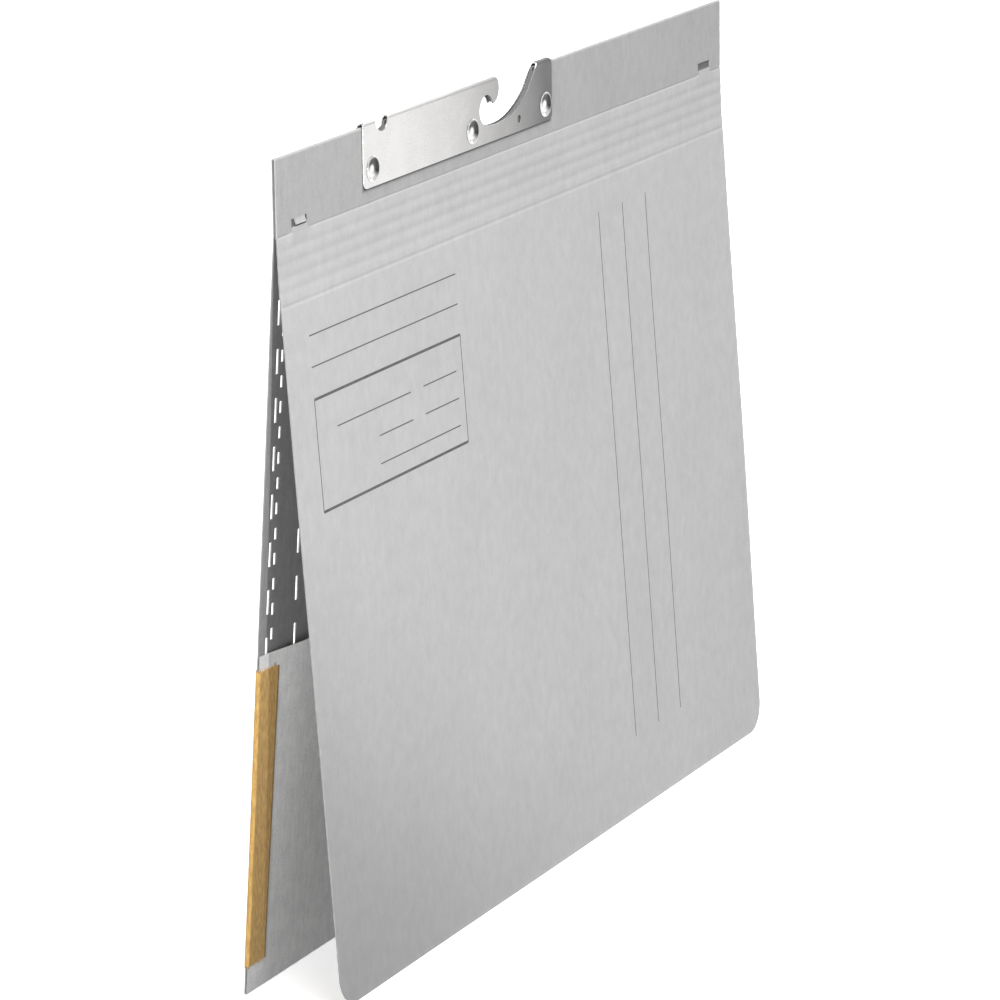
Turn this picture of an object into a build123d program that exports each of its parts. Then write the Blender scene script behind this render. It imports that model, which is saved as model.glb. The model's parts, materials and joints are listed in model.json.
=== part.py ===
# A pendulum hanging file: two card covers that hang from a folded strip, with a steel hook plate
# riveted over the strip, a fastener for punched sheets inside, and a taped pocket at the foot.
# It stands as a tent: +Z is up, +X runs along the strip, the front cover leans to -Y and the back
# cover to +Y. The origin is the middle of the footprint. All sizes are in millimetres and degrees.

import os
from math import cos, radians, sin

from build123d import *

# Card sheets
sheet_width = 318.0
strip_height = 23.6
cover_length = 238.4
card = 0.4
cover_tilt = 4.0
layer_gap = 0.2
fold_clear = 0.3
front_corner_radius = 10.0
inner_layer_height = 22.0

# Scores that let the front cover stand off a thick file
score_pitch = 4.17
score_count = 5
groove_width = 1.6
groove_depth = 0.2

# Tongues of the front sheet, tucked into slots in the strip's flap
tongue_inset = 9.0
slot_width = 9.6
slot_foot = 1.4
slot_height = 2.5
tongue_tuck = 4.0
tongue_clear = 0.2

# Steel hook plate, with heights measured from the strip's lower edge
steel = 0.5
plate_left = -105.5
plate_length = 130.0
plate_foot = 4.5
plate_rise = 1.3
plate_corner_radius = 2.2
plate_trim = 0.05
card_relief = 0.5
seat_x = -22.6
seat_height = 15.3
seat_radius = 4.7
tip_angle = 18.0
tip_width = 1.3
tip_bulge = 0.35
nose_x = 7.1
nose_bulge = 2.6
seat_end_angle = 254.0
ramp_low_x = 10.1
ramp_low_height = 9.7
ramp_knee_x = 29.8
ramp_knee_height = 17.2
ramp_top_x = 38.0
shoulder_drop = 1.2
shoulder_run = 2.2
shoulder_bulge = 0.35
thumb_inset = 12.5
thumb_radius = 4.2
locating_hole_x = 23.1
locating_hole_height = 8.5
locating_hole_radius = 1.2

# Rivets
rivet_left_inset = 6.1
rivet_middle_x = -9.8
rivet_right_inset = 4.8
rivet_height = 10.0
shank_radius = 1.7
shank_clear = 0.05
head_radius = 4.1
head_seat_radius = 3.5
crest_radius = 3.6
head_height = 0.3
rim_bulge = 0.1
dish_radius = 2.6
dish_depth = 0.35
dish_wall = 0.3
tail_radius = 3.0
tail_height = 0.5

# Rows of slits for label tabs, with insets from the left edge
edge_row_inset = 5.0
middle_row_inset = 8.0
inner_row_inset = 22.8
long_slit = 7.8
long_pitch = 15.0
long_count = 8
short_slit = 3.8
short_pitch = 7.9
short_count = 14
slit_width = 1.4
slit_start = 19.3

# Pocket and its linen gusset tapes
pocket_height = 109.0
pocket_gap = 0.3
tape = 0.3
tape_leg = 10.0
tape_head_drop = 5.0
tape_foot_lift = 9.5

# Fastener inside the back cover
hole_line = 30.0
hole_spacing = 80.0
stiffener_length = 150.0
stiffener_width = 22.0
stiffener = 0.7
band = 0.3
band_length = 104.0
band_width = 8.0
band_clear = 0.15
prong_width = 5.0
prong_length = 24.0
prong_lift = 0.04
prong_slot = 1.2
bar_length = 120.0
bar_width = 13.0
bar_wall = 0.35
bar_room = 0.8
bar_lip = 1.2
slider_length = 12.0
slider_thickness = 0.36
slider_side_clear = 0.15
slider_lift = 0.06
slider_locked = 26.0
grip_length = 7.0
grip_width = 8.0
grip_height = 0.35
grip_taper = 30.0

# Fold lines and levels that follow from the sizes above
lean = radians(cover_tilt)
fold_room = card / 2 + fold_clear
fold_offset = (card + layer_gap) / 2
fold_z = cover_length * cos(lean) + card / 2 * sin(lean)
strip_foot = fold_z + fold_room
strip_top = strip_foot + strip_height
leaf_back = layer_gap / 2 + card
inner_front = -layer_gap / 2 - card
flap_front = inner_front - card
strip_middle = (flap_front + leaf_back) / 2
strip_half = (leaf_back - flap_front) / 2
plate_half = strip_half + steel
plate_top = strip_top + plate_rise
plate_front = strip_middle - plate_half
plate_back = strip_middle + plate_half
spine_length = score_pitch * score_count
slot_floor = strip_foot + slot_foot
seat_z = strip_foot + seat_height
rivet_z = strip_foot + rivet_height
rivet_places = {
    "rivet_left": plate_left + rivet_left_inset,
    "rivet_middle": seat_x + rivet_middle_x,
    "rivet_right": plate_left + plate_length - rivet_right_inset,
}
half_width = sheet_width / 2
through = 4 * plate_half

# Planes in the two covers: X along the strip, Y up the cover from its fold line
front_plane = Plane((0, -fold_offset, fold_z), x_dir=(1, 0, 0), z_dir=(0, -cos(lean), sin(lean)))
back_plane = Plane((0, fold_offset, fold_z), x_dir=(1, 0, 0), z_dir=(0, -cos(lean), -sin(lean)))
front_side = Plane(front_plane.origin, x_dir=-front_plane.y_dir, z_dir=(-1, 0, 0))
back_side = Plane(back_plane.origin, x_dir=-back_plane.y_dir, z_dir=(-1, 0, 0))

# Levels of the fastener, counted inwards from the middle of the back cover
stiffener_floor = card / 2
bar_floor = stiffener_floor + stiffener
prong_floor = bar_floor + bar_wall + prong_lift
slider_floor = prong_floor + band + slider_lift
lip_floor = bar_floor + bar_wall + bar_room
pocket_middle = card + pocket_gap

os.makedirs("parts", exist_ok=True)


def save(part, name):
    part.label = name
    export_step(part, f"parts/{name}.step")


# A sheet folded over at the top: two leaves and a round fold
def fold_section(plane, half, wall, foot, top):
    centre = top - half
    with BuildSketch(plane) as section:
        for reach, mode in ((half, Mode.ADD), (half - wall, Mode.SUBTRACT)):
            with Locations((strip_middle, centre)):
                Circle(reach, mode=mode)
            with Locations((strip_middle, (foot + centre) / 2)):
                Rectangle(2 * reach, centre - foot, mode=mode)
    return section.sketch


# The space for the rod: a round seat under the nose of the hook, and a ramp that leads out of it
def notch_outline(relief):
    def on_seat(angle):
        return (seat_x + seat_radius * cos(radians(angle)), seat_z + seat_radius * sin(radians(angle)))

    tip = on_seat(tip_angle)
    nose_low = (tip[0] + tip_width, tip[1])
    nose_top = (seat_x + nose_x, plate_top)
    ramp_low = (seat_x + ramp_low_x, strip_foot + ramp_low_height)
    knee = (seat_x + ramp_knee_x, strip_foot + ramp_knee_height)
    ramp_top = (seat_x + ramp_top_x, plate_top)
    shoulder = (ramp_top[0] - shoulder_run, plate_top - shoulder_drop)
    clear_above = plate_top + through
    with BuildSketch(Plane.XZ) as notch:
        with BuildLine():
            ThreePointArc(on_seat(seat_end_angle), ramp_low, knee)
            Line(knee, shoulder)
            SagittaArc(shoulder, ramp_top, shoulder_bulge)
            Polyline(ramp_top, (ramp_top[0], clear_above), (nose_top[0], clear_above), nose_top)
            SagittaArc(nose_top, nose_low, nose_bulge)
            SagittaArc(nose_low, tip, tip_bulge)
            ThreePointArc(tip, on_seat((tip_angle + seat_end_angle) / 2), on_seat(seat_end_angle))
        make_face()
        with Locations((plate_left + thumb_inset, plate_top)):
            Circle(thumb_radius)
        if relief:
            offset(amount=relief)
    return notch.sketch


# One round hole for each rivet, with room for its shank or its head
def rivet_holes(radius, level=0):
    with BuildSketch(Plane.XZ.offset(level)) as holes:
        with Locations(*[(x, rivet_z) for x in rivet_places.values()]):
            Circle(radius + shank_clear)
    return holes.sketch


# The two places of the tongues, grown by a margin all round
def tongue_windows(foot, height, margin):
    with BuildSketch(Plane.XZ) as windows:
        middle = half_width - tongue_inset - slot_width / 2
        with Locations((-middle, foot + height / 2), (middle, foot + height / 2)):
            Rectangle(slot_width + 2 * margin, height + 2 * margin)
    return windows.sketch


# Hanger strip: back leaf, top fold and front flap of one card, with two slots in the flap
with BuildPart() as hanger_strip:
    extrude(fold_section(Plane.YZ, strip_half, card, strip_foot, strip_top), half_width, both=True)
    extrude(notch_outline(card_relief), through, both=True, mode=Mode.SUBTRACT)
    extrude(rivet_holes(shank_radius), through, both=True, mode=Mode.SUBTRACT)
    extrude(tongue_windows(slot_floor, slot_height, 0), -inner_front + card, mode=Mode.SUBTRACT)
save(hanger_strip.part, "hanger_strip")

# Margin of the front sheet, glued between the flap and the back leaf
with BuildPart() as front_margin:
    with BuildSketch(Plane.XZ.offset(-inner_front - card)) as margin:
        with Locations((0, strip_foot + inner_layer_height / 2)):
            Rectangle(sheet_width, inner_layer_height)
    extrude(amount=card)
    extrude(notch_outline(card_relief), through, both=True, mode=Mode.SUBTRACT)
    extrude(rivet_holes(shank_radius), through, both=True, mode=Mode.SUBTRACT)
    windows = tongue_windows(slot_floor, tongue_tuck, tongue_clear)
    extrude(windows, through, both=True, mode=Mode.SUBTRACT)
save(front_margin.part, "front_margin")

# Tongues of the front sheet: up over the flap, back through its slot, and tucked up behind it
for name, side in (("tongue_left", -1), ("tongue_right", 1)):
    outer_end = half_width - tongue_inset - tongue_clear
    inner_end = half_width - tongue_inset - slot_width + tongue_clear
    with BuildPart() as tongue:
        with BuildSketch(Plane.YZ.offset(side * (outer_end + inner_end) / 2)) as profile:
            with BuildLine():
                Polyline(
                    (flap_front - card, strip_foot),
                    (flap_front - card, slot_floor + card),
                    (inner_front, slot_floor + card),
                    (inner_front, slot_floor + tongue_tuck),
                    (inner_front + card, slot_floor + tongue_tuck),
                    (inner_front + card, slot_floor),
                    (flap_front, slot_floor),
                    (flap_front, strip_foot),
                    close=True,
                )
            make_face()
        extrude(amount=(outer_end - inner_end) / 2, both=True)
    save(tongue.part, name)

# Hook plate: pressed steel folded over the strip's top edge, open at the seat and the thumb notch
with BuildPart() as hook_plate:
    plate_end = Plane.YZ.offset(plate_left)
    extrude(fold_section(plate_end, plate_half, steel, strip_foot + plate_foot, plate_top), plate_length)
    with BuildSketch(Plane.XZ) as outline:
        plate_height = plate_top + plate_trim - strip_foot - plate_foot
        with Locations((plate_left + plate_length / 2, strip_foot + plate_foot + plate_height / 2)):
            RectangleRounded(plate_length, plate_height, plate_corner_radius)
        add(notch_outline(0), mode=Mode.SUBTRACT)
        add(rivet_holes(shank_radius), mode=Mode.SUBTRACT)
    extrude(amount=through, both=True, mode=Mode.INTERSECT)
    with BuildSketch(Plane.XZ.offset(-flap_front)) as locating_hole:
        with Locations((seat_x + locating_hole_x, strip_foot + locating_hole_height)):
            Circle(locating_hole_radius)
    extrude(amount=steel, mode=Mode.SUBTRACT)
    extrude(rivet_holes(head_seat_radius, -flap_front), steel, mode=Mode.SUBTRACT)
save(hook_plate.part, "hook_plate")

# Rivets: a dished head set into the plate's front leaf, with its rim turned over the plate, a shank
# through the card and the back leaf, and a flat tail behind
for name, place in rivet_places.items():
    with BuildPart() as rivet:
        with BuildSketch(Plane((place, 0, rivet_z))) as half_section:
            with BuildLine():
                rim_edge = (head_radius, plate_front)
                crest = (crest_radius, plate_front - head_height)
                Polyline(
                    crest,
                    (dish_radius, plate_front + dish_depth),
                    (0, plate_front + dish_depth),
                    (0, plate_back + tail_height),
                    (tail_radius, plate_back + tail_height),
                    (tail_radius, plate_back),
                    (shank_radius, plate_back),
                    (shank_radius, flap_front),
                    (dish_radius + dish_wall, flap_front),
                    (head_seat_radius, plate_front),
                    rim_edge,
                )
                SagittaArc(rim_edge, crest, rim_bulge)
            make_face()
        revolve(axis=Axis((place, 0, rivet_z), (0, 1, 0)))
    save(rivet.part, name)

# Scored spine: the top of the front sheet, with a groove pressed along each score, down to the last score
with BuildPart() as scored_spine:
    spine_end = spine_length - fold_room
    with BuildSketch(front_side) as profile:
        with BuildLine():
            for level in (card / 2, -card / 2):
                run = 0
                for score in range(1, score_count):
                    start = score * score_pitch - groove_width / 2
                    end = start + groove_width
                    Line((run, level), (start, level))
                    ThreePointArc((start, level), (score * score_pitch, level - groove_depth), (end, level))
                    run = end
                Line((run, level), (spine_end, level))
            for end in (0, spine_end):
                Line((end, card / 2), (end, -card / 2))
        make_face()
    extrude(amount=half_width, both=True)
save(scored_spine.part, "scored_spine")

# Front cover: the plain sheet below the last score, with rounded bottom corners
with BuildPart() as front_cover:
    with BuildSketch(front_plane) as outline:
        with Locations((0, -(spine_length + cover_length) / 2)):
            Rectangle(sheet_width, cover_length - spine_length)
        fillet(outline.vertices().group_by(Axis.Y)[0], front_corner_radius)
    extrude(amount=card / 2, both=True)
save(front_cover.part, "front_cover")

# Back cover: a plain sheet with rows of label slits along its left edge
with BuildPart() as back_cover:
    with BuildSketch(back_plane) as outline:
        with Locations((0, -cover_length / 2)):
            Rectangle(sheet_width, cover_length)
        for inset, length, pitch, count in (
            (edge_row_inset, long_slit, long_pitch, long_count),
            (middle_row_inset, short_slit, short_pitch, short_count),
            (inner_row_inset, long_slit, long_pitch, long_count),
        ):
            first = slit_start + length / 2
            places = [(inset - half_width, -first - pitch * number) for number in range(count)]
            with Locations(*places):
                Rectangle(slit_width, length, mode=Mode.SUBTRACT)
    extrude(amount=card / 2, both=True)
save(back_cover.part, "back_cover")

# Pocket panel: folded up inside the back cover, with its fold line at the foot
with BuildPart() as pocket_panel:
    pocket_fold = cover_length - card
    with BuildSketch(back_plane.offset(pocket_middle)) as outline:
        with Locations((0, -pocket_fold + pocket_height / 2)):
            Rectangle(sheet_width, pocket_height)
    extrude(amount=card / 2, both=True)
save(pocket_panel.part, "pocket_panel")

# Gusset tapes: linen folded round the side edges, from the pocket's face to the back of the cover
for name, side in (("gusset_tape_left", -1), ("gusset_tape_right", 1)):
    tape_head = pocket_fold - pocket_height + tape_head_drop
    tape_length = cover_length - tape_foot_lift - tape_head
    inner_depth = pocket_middle + card
    tape_middle = pocket_middle / 2
    with BuildPart() as gusset_tape:
        with BuildSketch(Plane(back_plane.origin, x_dir=(1, 0, 0), z_dir=-back_plane.y_dir)) as section:
            with Locations((side * (half_width + tape - (tape_leg + tape) / 2), tape_middle)):
                Rectangle(tape_leg + tape, inner_depth + 2 * tape)
            with Locations((side * (half_width - tape_leg), tape_middle)):
                Rectangle(2 * tape_leg, inner_depth, mode=Mode.SUBTRACT)
        extrude(amount=tape_head + tape_length)
        head_cut = Plane(back_plane.origin, z_dir=back_plane.y_dir).offset(-tape_head)
        split(bisect_by=head_cut, keep=Keep.BOTTOM)
    save(gusset_tape.part, name)

# Reinforcing strip: thick card glued over the prong band, with a channel for it and two slots
prong_x = hole_spacing / 2
with BuildPart() as reinforcing_strip:
    with BuildSketch(back_plane.offset(stiffener_floor)) as outline:
        with Locations((0, -hole_line)):
            Rectangle(stiffener_length, stiffener_width)
        with Locations((-prong_x, -hole_line), (prong_x, -hole_line)):
            Rectangle(prong_slot, prong_width + prong_slot, mode=Mode.SUBTRACT)
    extrude(amount=stiffener)
    with BuildSketch(back_plane.offset(stiffener_floor)) as channel:
        with Locations((0, -hole_line)):
            Rectangle(band_length + 2 * band_clear, band_width + 2 * band_clear)
    extrude(amount=band, mode=Mode.SUBTRACT)
save(reinforcing_strip.part, "reinforcing_strip")

# Prong band: a flat steel band with two prongs that rise through the strip and fold inwards
with BuildPart() as prong_band:
    with BuildSketch(back_plane.offset(stiffener_floor)) as base:
        with Locations((0, -hole_line)):
            Rectangle(band_length, band_width)
    extrude(amount=band)
    band_middle = back_plane.from_local_coords((0, -hole_line, 0))
    with BuildSketch(Plane(band_middle, x_dir=(1, 0, 0), z_dir=-back_plane.y_dir)) as prongs:
        for side in (-1, 1):
            with Locations((side * prong_x, (stiffener_floor + prong_floor + band) / 2)):
                Rectangle(band, prong_floor + band - stiffener_floor)
            with Locations((side * (prong_x + band / 2 - prong_length / 2), prong_floor + band / 2)):
                Rectangle(prong_length, band)
    extrude(amount=prong_width / 2, both=True)
save(prong_band.part, "prong_band")

# Cover bar: a shallow steel channel that presses on the sheets, with lips that guide two sliders
with BuildPart() as cover_bar:
    with BuildSketch(back_side) as section:
        with Locations((hole_line, bar_floor + bar_wall + bar_room / 2)):
            Rectangle(bar_width, 2 * bar_wall + bar_room)
            Rectangle(bar_width - 2 * bar_wall, bar_room, mode=Mode.SUBTRACT)
        with Locations((hole_line, lip_floor + bar_wall / 2)):
            Rectangle(bar_width - 2 * bar_wall - 2 * bar_lip, bar_wall, mode=Mode.SUBTRACT)
    extrude(amount=bar_length / 2, both=True)
    with BuildSketch(back_plane.offset(bar_floor)) as slots:
        with Locations((-prong_x, -hole_line), (prong_x, -hole_line)):
            Rectangle(prong_slot, prong_width + prong_slot)
    extrude(amount=bar_wall, mode=Mode.SUBTRACT)
save(cover_bar.part, "cover_bar")

# Lock sliders: flat plates under the lips, over the folded prongs, each with a raised grip
for name, side in (("slider_left", -1), ("slider_right", 1)):
    with BuildPart() as slider:
        with BuildSketch(back_plane.offset(slider_floor)) as plate:
            with Locations((side * slider_locked, -hole_line)):
                Rectangle(slider_length, bar_width - 2 * bar_wall - 2 * slider_side_clear)
        extrude(amount=slider_thickness)
        with BuildSketch(back_plane.offset(slider_floor + slider_thickness)) as grip:
            with Locations((side * slider_locked, -hole_line)):
                Rectangle(grip_length, grip_width)
        extrude(amount=grip_height, taper=grip_taper)
    save(slider.part, name)
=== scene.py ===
# %% [markdown]
# # A pendulum file in grey card
# The object is a hanging file: two card covers that fold down from a doubled strip, a steel hook
# plate riveted over that strip, a pocket at the foot of the back cover, and a fastener for punched
# sheets inside. The solids of every piece come from the frame. This lesson gives them their looks.
# Flat card is the main subject, so the large sheets are made as a paper worker makes them: drawn
# flat, punched flat, and then folded into place by a function.

# %% Load the frame
import json
from math import cos, exp, pi, radians, sin
from random import Random

import bmesh
import bpy
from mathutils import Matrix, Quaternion, Vector, noise


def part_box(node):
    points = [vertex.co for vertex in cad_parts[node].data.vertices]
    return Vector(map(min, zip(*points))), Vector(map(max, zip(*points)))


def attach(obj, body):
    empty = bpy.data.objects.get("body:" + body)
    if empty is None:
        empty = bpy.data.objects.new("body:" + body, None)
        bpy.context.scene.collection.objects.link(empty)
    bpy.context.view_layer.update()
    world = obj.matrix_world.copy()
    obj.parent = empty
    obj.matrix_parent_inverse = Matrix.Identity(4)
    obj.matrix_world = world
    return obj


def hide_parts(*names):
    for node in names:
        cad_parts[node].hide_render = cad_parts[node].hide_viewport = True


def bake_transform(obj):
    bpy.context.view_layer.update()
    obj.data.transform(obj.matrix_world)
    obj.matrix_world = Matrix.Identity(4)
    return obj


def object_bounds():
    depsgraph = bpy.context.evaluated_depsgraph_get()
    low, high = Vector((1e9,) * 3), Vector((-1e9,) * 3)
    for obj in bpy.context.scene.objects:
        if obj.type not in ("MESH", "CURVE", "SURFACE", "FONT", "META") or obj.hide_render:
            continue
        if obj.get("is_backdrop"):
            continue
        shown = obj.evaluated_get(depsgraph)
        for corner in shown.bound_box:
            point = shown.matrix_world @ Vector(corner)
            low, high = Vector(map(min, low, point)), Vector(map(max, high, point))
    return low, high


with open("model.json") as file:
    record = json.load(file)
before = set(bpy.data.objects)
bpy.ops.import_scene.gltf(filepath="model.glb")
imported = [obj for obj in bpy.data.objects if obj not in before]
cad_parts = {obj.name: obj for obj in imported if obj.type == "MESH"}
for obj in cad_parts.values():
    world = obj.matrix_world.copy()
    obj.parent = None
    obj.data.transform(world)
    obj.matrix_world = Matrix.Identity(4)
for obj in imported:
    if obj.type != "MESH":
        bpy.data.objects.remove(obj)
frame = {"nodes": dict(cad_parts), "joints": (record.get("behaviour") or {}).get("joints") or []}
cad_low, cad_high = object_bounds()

MM = 0.001


def size_in_mm(low, high):
    return [round((top - foot) / MM, 1) for foot, top in zip(low, high)]


print("frame box in mm:", size_in_mm(cad_low, cad_high))

# %% [markdown]
# ## Measures from the frame
# Every sheet hangs from a fold line, and the frame's joints say where the fold lines are. From two
# of them follow the lean of the covers and the direction "down the sheet". Lengths along a sheet
# are then called v, counted from its fold line, and lengths across it u, counted from the middle.
# Both are in millimetres, as on a ruler.

# %% Fold lines and directions
CARD = 0.4
ALONG = Vector((1, 0, 0))
joint_at = {joint["name"]: Vector(joint.get("pos_m", (0, 0, 0))) for joint in frame["joints"]}
front_seam = joint_at["front_seam_fold"]
last_score = joint_at["front_score_fold"]
back_seam = joint_at["back_seam_fold"]
front_down = (last_score - front_seam).normalized()
back_down = Vector((0, -front_down.y, front_down.z))
front_face = front_down.cross(ALONG)
back_face = back_down.cross(ALONG)

strip_low, strip_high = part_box("hanger_strip")
cover_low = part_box("front_cover")[0]
half_width = strip_high.x / MM
spine_length = (last_score - front_seam).length / MM
strip_gap = (strip_low.z - front_seam.z) / MM
cover_drop = (front_seam.z - cover_low.z) / MM
cover_length = (cover_drop + CARD / 2 * front_down.y) / -front_down.z
print(f"sheet {2 * half_width:.1f} x {cover_length:.1f} mm, last score at {spine_length:.2f} mm")

# %% [markdown]
# ## The camera
# A long lens far away keeps the covers almost free of perspective, as in a catalogue picture. The
# viewpoint is set by two angles, a slight roll and a distance from a point near the middle of the
# front cover. The lens follows from a focal length in picture widths, so it holds for any square
# picture.

# %% Camera
AZIMUTH = radians(-63.26)
ELEVATION = radians(14.77)
ROLL = radians(-0.74)
DISTANCE = 1.61
AIM_BELOW_SEAM = 0.114
AIM_LEFT = 0.014
FOCAL_IN_WIDTHS = 4.963

aim = Vector((-AIM_LEFT, 0, front_seam.z - AIM_BELOW_SEAM))
to_eye = Vector((sin(AZIMUTH) * cos(ELEVATION), -cos(AZIMUTH) * cos(ELEVATION), sin(ELEVATION)))
camera = bpy.data.objects.new("camera", bpy.data.cameras.new("camera"))
camera.location = aim + to_eye * DISTANCE
camera.rotation_euler = (to_eye.to_track_quat("Z", "Y") @ Quaternion((0, 0, 1), ROLL)).to_euler()
camera.data.lens = FOCAL_IN_WIDTHS * camera.data.sensor_width
bpy.context.scene.collection.objects.link(camera)
bpy.context.scene.camera = camera
print(f"lens {camera.data.lens:.1f} mm at {DISTANCE} m")

# %% [markdown]
# ## Writing node trees in few words
# A finish is a small network of nodes, and the same few moves come back in each. Short helpers do
# them: set inputs, add a node, do a sum, fade between two limits, stretch a pattern, make noise, and
# start, close and place a node group.


# %% Node helpers
def feed(tree, socket, value):
    if isinstance(value, bpy.types.NodeSocket):
        tree.links.new(value, socket)
    else:
        socket.default_value = value


def add_node(tree, kind, inputs=None, **settings):
    made = tree.nodes.new("ShaderNode" + kind)
    for name, value in settings.items():
        setattr(made, name, value)
    for socket, value in (inputs or {}).items():
        feed(tree, made.inputs[socket], value)
    return made


def set_inputs(tree, shader, **sockets):
    for label, value in sockets.items():
        socket = label.replace("_", " ").title().replace("Ior", "IOR")
        feed(tree, shader.inputs[socket], value)


def calc(tree, operation, first, second=0.0, clamp=False):
    made = add_node(tree, "Math", {0: first, 1: second}, operation=operation, use_clamp=clamp)
    return made.outputs[0]


def times(tree, value, factor):
    return calc(tree, "MULTIPLY", value, factor)


def scaled(tree, value, factor, base):
    return calc(tree, "ADD", times(tree, value, factor), base)


def fade(tree, value, low, high):
    inputs = {"Value": value, "From Min": low, "From Max": high}
    return add_node(tree, "MapRange", inputs, interpolation_type="SMOOTHSTEP").outputs["Result"]


def stretch(tree, vector, scale):
    made = add_node(tree, "VectorMath", {0: vector, 1: scale}, operation="MULTIPLY")
    return made.outputs["Vector"]


def axes(tree, vector):
    return add_node(tree, "SeparateXYZ", {0: vector}).outputs


# %% Group and noise helpers
MIDDLE = 0.5
ORIGIN = (0.0, 0.0, 0.0)


def new_group(name, inputs, outputs):
    tree = bpy.data.node_groups.new(name, "ShaderNodeTree")
    for label, value in inputs.items():
        kind = "NodeSocketVector" if isinstance(value, tuple) else "NodeSocketFloat"
        tree.interface.new_socket(label, in_out="INPUT", socket_type=kind).default_value = value
    for label in outputs:
        tree.interface.new_socket(label, in_out="OUTPUT", socket_type="NodeSocketFloat")
    entry = tree.nodes.new("NodeGroupInput").outputs
    leave = tree.nodes.new("NodeGroupOutput").inputs
    return tree, entry, leave


def close_group(tree, leave, **results):
    for label, value in results.items():
        tree.links.new(value, leave[label])
    print("group", tree.name, len(tree.nodes), "nodes")
    return tree


def place_group(tree, group, inputs):
    return add_node(tree, "Group", inputs, node_tree=group).outputs


def grain(tree, vector, scale, detail=3.0, roughness=0.5):
    inputs = {"Vector": vector, "Scale": scale, "Detail": detail, "Roughness": roughness}
    return add_node(tree, "TexNoise", inputs).outputs[0]


def swing(tree, value, share):
    return times(tree, calc(tree, "SUBTRACT", value, MIDDLE), share)


print("helpers ready")

# %% [markdown]
# ## Floor and light
# Grey card shows its scores only if the light comes from above. A sun with soft edges stands high
# over the file and keeps the pale floor white. A spot further off has a narrow beam, stretched
# along the top of the front cover, so the card grows darker towards its foot. A soft box on the
# left looks in between the covers. Two panels are there for the steel, which is only as bright as
# what it reflects: one far out on the right, and one behind, which also lights the back cover. The
# room is white to the camera and to mirrors, and dim to matt card. The colours are shown without a
# film curve, so that white stays white.

# %% Floor
FLOOR_REACH, FLOOR_CELLS = 8.0, 8

scene = bpy.context.scene
scene.view_settings.view_transform = "Standard"
floor_net = bmesh.new()
bmesh.ops.create_grid(floor_net, x_segments=FLOOR_CELLS, y_segments=FLOOR_CELLS, size=FLOOR_REACH)
floor_mesh = bpy.data.meshes.new("floor")
floor_net.to_mesh(floor_mesh)
floor = bpy.data.objects.new("floor", floor_mesh)
scene.collection.objects.link(floor)
floor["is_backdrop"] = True
print(f"floor {2 * FLOOR_REACH} m wide")


# %% Lamps
def lamp(name, kind, azimuth, elevation, distance, target, energy, **settings):
    light = bpy.data.lights.new(name, kind)
    light.energy = energy
    if kind == "AREA":
        light.shape = "RECTANGLE"
    for label, value in settings.items():
        setattr(light, label, value)
    turn, rise = radians(azimuth), radians(elevation)
    toward = Vector((sin(turn) * cos(rise), -cos(turn) * cos(rise), sin(rise)))
    made = bpy.data.objects.new(name, light)
    made.location = target + toward * distance
    made.rotation_euler = toward.to_track_quat("Z", "Y").to_euler()
    scene.collection.objects.link(made)
    print(f"{name}: {energy} at {distance} m")
    return made


BEAM, BEAM_STRETCH, BEAM_ROLL = radians(7.4), 1.9, radians(-6)
BEAM_AIM_LEFT, BEAM_AIM_ABOVE = 0.05, 0.03
BOX_AIM_HEIGHT = 0.08
cover_top = front_seam - ALONG * BEAM_AIM_LEFT - front_down * BEAM_AIM_ABOVE
pocket_side = Vector((-half_width * MM, 0, BOX_AIM_HEIGHT))
lamp(
    "soft_sun", "SUN", azimuth=-25, elevation=76, distance=1.0, target=cover_top, energy=1.8,
    angle=radians(20),
)
beam = lamp(
    "cover_lamp", "SPOT", azimuth=-20, elevation=53, distance=3.1, target=cover_top, energy=365.0,
    spot_size=BEAM, spot_blend=0.74, shadow_soft_size=0.03,
)
beam.scale.x = BEAM_STRETCH
beam.rotation_euler.rotate_axis("Z", BEAM_ROLL)
lamp(
    "left_box", "AREA", azimuth=-74, elevation=6, distance=1.2, target=pocket_side, energy=19.5,
    size=0.5, size_y=0.6,
)
lamp(
    "right_panel", "AREA", azimuth=92, elevation=16, distance=2.3, target=front_seam, energy=9.0,
    size=1.8, size_y=1.5,
)
lamp(
    "rear_panel", "AREA", azimuth=140, elevation=14, distance=2.3, target=back_seam, energy=52.0,
    size=2.0, size_y=0.9,
)

# %% Room
ROOM_TONE = (1.0, 1.0, 1.0, 1)
MATT_STRENGTH, MIRROR_STRENGTH = 0.2, 1.0

scene.world = bpy.data.worlds.new("studio_room")
scene.world.use_nodes = True
room = scene.world.node_tree
onto_matt = add_node(room, "LightPath").outputs["Is Diffuse Ray"]
levels = {"Value": onto_matt, "To Min": MIRROR_STRENGTH, "To Max": MATT_STRENGTH}
strength = add_node(room, "MapRange", levels).outputs["Result"]
set_inputs(room, room.nodes["Background"], color=ROOM_TONE, strength=strength)
print(f"room {MATT_STRENGTH} on matt card, {MIRROR_STRENGTH} in mirrors")

# %% [markdown]
# ## Card fibre, a shared effect
# File card is a grey mix of short fibres that lie mostly along one direction. From a step away one
# sees soft clouds and mottling, from close by a fine streaky grain with a few specks. A picture of
# card would repeat, so four layers of noise do it: clouds, mottling, fibres drawn out along v, and
# specks. The group puts out a shade for the colour and a height for the bump.

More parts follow.
